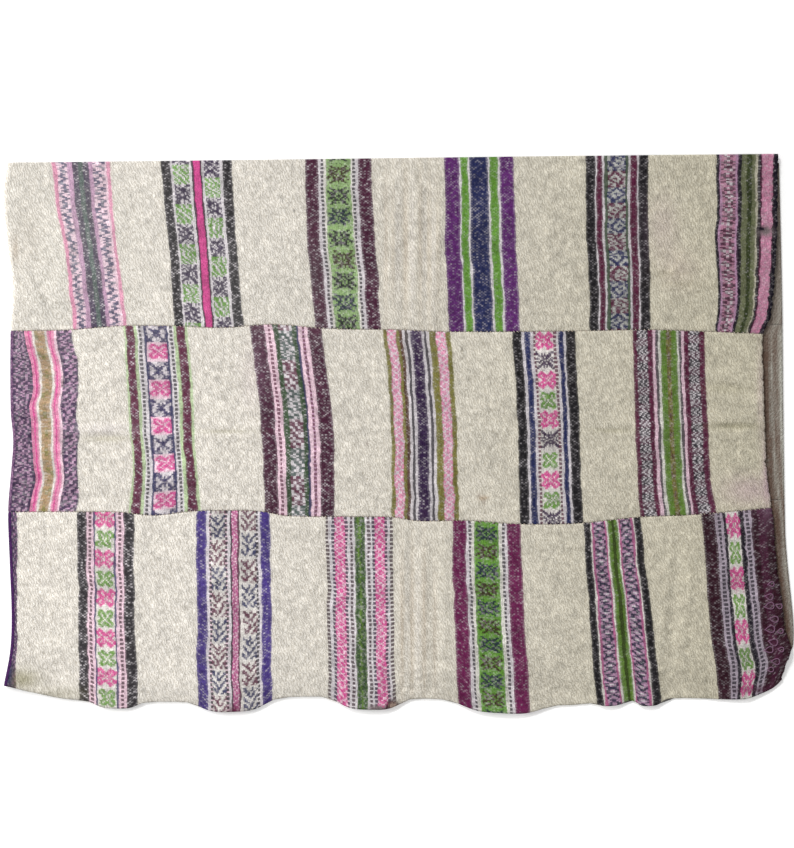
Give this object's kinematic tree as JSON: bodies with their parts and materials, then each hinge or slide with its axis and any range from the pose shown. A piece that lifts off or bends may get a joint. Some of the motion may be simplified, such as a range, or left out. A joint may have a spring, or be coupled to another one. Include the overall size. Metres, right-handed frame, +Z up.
{
  "type": "wool rug",
  "caption": "Hand-woven wool rug of narrow banded panels sewn edge to edge, folded once and lying flat, with a rippled long edge.",
  "frame": {"origin": "on the surface that the rug lies on, under the middle of the rug's box", "axes": "+Z up out of the cloth, +X along the panels from the fold to the cut ends, +Y across the panels from the rippled hem to the straight edge"},
  "size_m": [1.5788, 1.1186, 0.0162],
  "materials": {
    "wool_far": "felted cream wool with woven bands of plum, charcoal, violet, green and pink",
    "wool_middle": "felted cream wool with woven bands of olive, plum, maroon, navy and pink",
    "wool_near": "felted cream wool with woven bands of plum, charcoal, blue-violet, green and pink"
  },
  "bodies": {
    "root": {"panel_far": "wool_far", "panel_middle": "wool_middle", "panel_near": "wool_near"}
  },
  "joints": []
}
